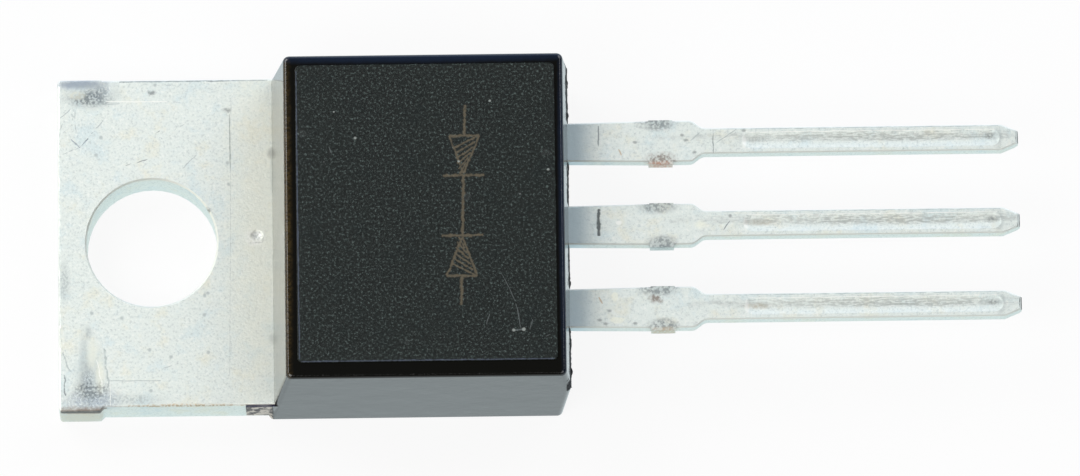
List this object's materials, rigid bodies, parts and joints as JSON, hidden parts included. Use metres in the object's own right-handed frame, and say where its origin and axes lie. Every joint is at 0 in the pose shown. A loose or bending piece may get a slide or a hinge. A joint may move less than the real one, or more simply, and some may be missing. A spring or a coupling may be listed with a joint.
{
  "type": "schottky diode",
  "caption": "Black moulded power rectifier on a flat metal tab with a screw hole and a row of straight pin leads, for fixing to a heat sink and soldering into a board.",
  "frame": {"origin": "centre of the mounting hole on the tab's back face", "axes": "+X along the leads, from the tab to their tips; +Y across the package; +Z from the tab's back to the front of the case"},
  "size_m": [0.0287, 0.0102, 0.0045],
  "materials": {
    "case_epoxy": "black filled epoxy, polished sides and border, matt front panel",
    "tinned_copper": "matt tin plate over copper, scuffed, bare copper where it was sheared",
    "silicon": "polished silicon with an aluminium top",
    "solder": "dull soft solder",
    "wire_aluminium": "drawn wire"
  },
  "bodies": {
    "root": {"moulded_case": "case_epoxy", "tab_with_cathode_lead": "tinned_copper", "anode_lead_1": "tinned_copper", "anode_lead_2": "tinned_copper", "diode_die_1": "silicon", "diode_die_2": "silicon", "die_solder_1": "solder", "die_solder_2": "solder", "bond_wire_1": "wire_aluminium", "bond_wire_2": "wire_aluminium"}
  },
  "joints": []
}
